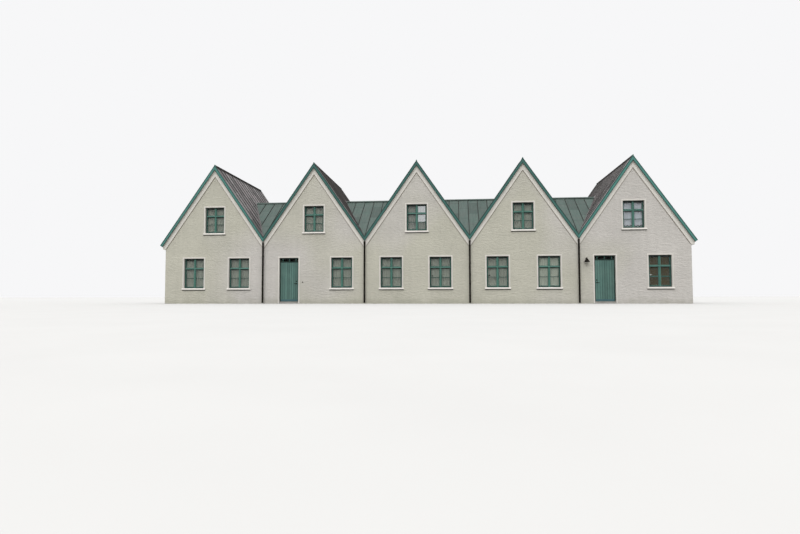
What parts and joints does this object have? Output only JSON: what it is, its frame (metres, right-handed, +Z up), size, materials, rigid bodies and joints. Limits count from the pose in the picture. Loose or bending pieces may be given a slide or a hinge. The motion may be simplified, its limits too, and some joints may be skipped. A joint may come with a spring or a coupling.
{
  "type": "five-gabled farmhouse",
  "caption": "Long white farmhouse with a row of steep gables side by side, seamed metal roofs, saddle roofs in the valleys, casement windows and hinged boarded doors.",
  "frame": {"origin": "on the ground, in the middle of the house", "axes": "+X along the front to the viewer's right, +Y from the front to the back, +Z up"},
  "size_m": [26.768, 7.226, 7.2052],
  "materials": {
    "roughcast": "painted roughcast on concrete, matt",
    "smooth_plaster": "smooth painted plaster",
    "concrete": "floated concrete",
    "timber": "sawn boards",
    "roof_patina": "weathered sheet metal with standing seams, grey-green",
    "verge_teal": "teal sheet metal flashing, satin",
    "frame_teal": "painted joinery, satin",
    "door_teal": "painted boards, weathered",
    "glass": "clear window glass",
    "curtain": "thin woven curtain",
    "dark_metal": "near-black painted metal"
  },
  "bodies": {
    "house": {"front_wall_1": "roughcast", "front_wall_2_left": "roughcast", "front_wall_2_right": "roughcast", "front_wall_2_over": "roughcast", "front_wall_3": "roughcast", "front_wall_4": "roughcast", "front_wall_5_left": "roughcast", "front_wall_5_right": "roughcast", "front_wall_5_over": "roughcast", "back_wall_1": "roughcast", "back_wall_2": "roughcast", "back_wall_3": "roughcast", "back_wall_4": "roughcast", "back_wall_5": "roughcast", "side_wall_left": "roughcast", "side_wall_right": "roughcast", "roof_timber_1": "timber", "roof_timber_2": "timber", "roof_timber_3": "timber", "roof_timber_4": "timber", "roof_timber_5": "timber", "roof_metal": "roof_patina", "saddle_timber": "timber", "saddle_metal": "roof_patina", "ridge_caps": "dark_metal", "verge_boards": "verge_teal", "verge_bands": "smooth_plaster", "eaves_cornices": "smooth_plaster", "window_surrounds": "smooth_plaster", "window_sills": "smooth_plaster", "window_frames": "frame_teal", "window_glass": "glass", "curtains": "curtain", "door_frames": "frame_teal", "thresholds": "concrete", "ground_floor": "concrete", "loft_floor": "timber", "valley_downpipes": "dark_metal", "end_gutters": "dark_metal", "end_downpipes": "dark_metal", "wall_lamp": "dark_metal"},
    "door_leaf_2": {"door_2": "door_teal", "door_2_handle": "dark_metal"},
    "door_leaf_5": {"door_5": "door_teal", "door_5_handle": "dark_metal"}
  },
  "joints": [
    {"name": "door_2_hinge", "type": "hinge", "parent": "house", "child": "door_leaf_2", "pos_m": [-6.987, -3.31, 1.1], "axis": [0, 0, -1], "range_deg": [0, 100]},
    {"name": "door_5_hinge", "type": "hinge", "parent": "house", "child": "door_leaf_5", "pos_m": [9.557, -3.31, 1.1], "axis": [0, 0, 1], "range_deg": [0, 100]}
  ]
}
